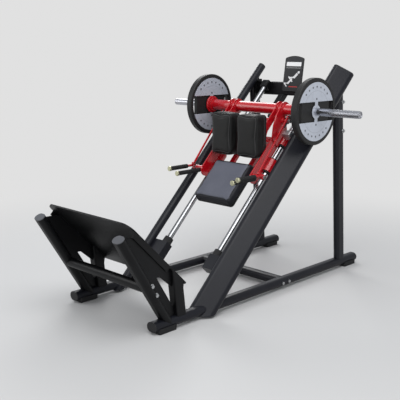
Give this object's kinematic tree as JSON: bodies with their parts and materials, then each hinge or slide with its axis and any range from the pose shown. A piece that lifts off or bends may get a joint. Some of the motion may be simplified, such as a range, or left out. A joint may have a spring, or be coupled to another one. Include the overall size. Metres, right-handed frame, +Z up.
{
  "type": "leg press machine",
  "caption": "Plate-loaded leg press: a sled with shoulder and back pads slides on sloping guide rods above a slanted foot plate.",
  "frame": {"origin": "on the floor, midway across and midway along the machine", "axes": "+Z up; the foot plate is at the -Y end and the rear posts at the +Y end; +X is to the right of somebody who looks along +Y"},
  "size_m": [1.7, 2.3423, 1.5783],
  "materials": {
    "frame_paint": "satin charcoal powder coat",
    "red_paint": "gloss red powder coat",
    "black_plastic": "fine grained moulded plastic",
    "grey_plastic": "smooth moulded plastic",
    "black_rubber": "moulded rubber",
    "chrome_rod": "ground and hard chromed",
    "horn_steel": "turned steel, lightly brushed",
    "zinc_steel": "zinc plated",
    "black_vinyl": "grained upholstery vinyl",
    "grey_vinyl": "grained upholstery vinyl",
    "plate_iron": "black enamelled casting",
    "plate_steel": "silver face",
    "printed_film": "laminated print"
  },
  "bodies": {
    "frame": {"left_runner": "frame_paint", "right_runner": "frame_paint", "runner_end_caps": "black_plastic", "rubber_feet": "black_rubber", "base_cross_member": "frame_paint", "left_beam": "frame_paint", "right_beam": "frame_paint", "beam_end_caps": "black_plastic", "left_post": "frame_paint", "right_post": "frame_paint", "upper_cross_beam": "frame_paint", "stop_buffers": "black_rubber", "left_upright": "frame_paint", "right_upright": "frame_paint", "upright_end_caps": "grey_plastic", "front_cross_tube": "frame_paint", "foot_plate": "frame_paint", "plate_gussets": "frame_paint", "plate_struts": "frame_paint", "left_guide_rod": "chrome_rod", "right_guide_rod": "chrome_rod", "rod_brackets": "frame_paint", "rod_bumpers": "black_rubber", "stop_blocks": "zinc_steel", "placard_board": "black_plastic", "placard_label": "printed_film", "frame_bolts": "zinc_steel"},
    "sled": {"load_bar": "red_paint", "load_bar_collars": "red_paint", "left_horn": "horn_steel", "right_horn": "horn_steel", "horn_caps": "horn_steel", "bearing_housings": "red_paint", "bearing_bushes": "grey_plastic", "bearing_seals": "black_rubber", "cheek_plates": "red_paint", "carriage_arms": "red_paint", "carriage_cross_plates": "red_paint", "carriage_tie_bar": "red_paint", "pad_rails": "red_paint", "pad_arms": "red_paint", "shoulder_pad_boards": "black_plastic", "left_shoulder_pad": "black_vinyl", "right_shoulder_pad": "black_vinyl", "back_pad_board": "black_plastic", "back_pad": "grey_vinyl", "handle_tubes": "red_paint", "fixed_grip_stems": "red_paint", "fixed_grips": "black_rubber"},
    "lock": {"lock_shaft": "red_paint"},
    "left_lever": {"left_lever": "red_paint", "left_lever_grip": "black_rubber"},
    "right_lever": {"right_lever": "red_paint", "right_lever_grip": "black_rubber"},
    "left_link": {"left_lock_link": "red_paint"},
    "right_link": {"right_lock_link": "red_paint"},
    "left_disc": {"left_weight_plate": "plate_iron", "left_weight_plate_covers": "plate_steel"},
    "right_disc": {"right_weight_plate": "plate_iron", "right_weight_plate_covers": "plate_steel"}
  },
  "joints": [
    {"name": "sled_slide", "type": "slide", "parent": "frame", "child": "sled", "axis": [0, -0.7071, -0.7071], "range_m": [-0.2, 0.53]},
    {"name": "lock_turn", "type": "hinge", "parent": "sled", "child": "lock", "pos_m": [0, 0.4432, 1.14163], "axis": [1, 0, 0], "range_deg": [0, 45]},
    {"name": "left_lever_turn", "type": "hinge", "parent": "sled", "child": "left_lever", "pos_m": [0, 0.143, 0.79], "axis": [1, 0, 0], "range_deg": [0, 45]},
    {"name": "right_lever_turn", "type": "hinge", "parent": "sled", "child": "right_lever", "pos_m": [0, 0.143, 0.79], "axis": [1, 0, 0], "range_deg": [0, 45]},
    {"name": "left_link_turn", "type": "hinge", "parent": "lock", "child": "left_link", "pos_m": [0, 0.41492, 1.16992], "axis": [1, 0, 0], "range_deg": [-45, 0]},
    {"name": "right_link_turn", "type": "hinge", "parent": "lock", "child": "right_link", "pos_m": [0, 0.41492, 1.16992], "axis": [1, 0, 0], "range_deg": [-45, 0]},
    {"name": "left_disc_slide", "type": "slide", "parent": "sled", "child": "left_disc", "axis": [-1, 0, 0], "range_m": [0, 0.4]},
    {"name": "right_disc_slide", "type": "slide", "parent": "sled", "child": "right_disc", "axis": [1, 0, 0], "range_m": [0, 0.4]}
  ],
  "couplings": [
    {"joint": "left_lever_turn", "follows": "lock_turn", "ratio": 1},
    {"joint": "right_lever_turn", "follows": "lock_turn", "ratio": 1},
    {"joint": "left_link_turn", "follows": "lock_turn", "ratio": -1},
    {"joint": "right_link_turn", "follows": "lock_turn", "ratio": -1}
  ]
}
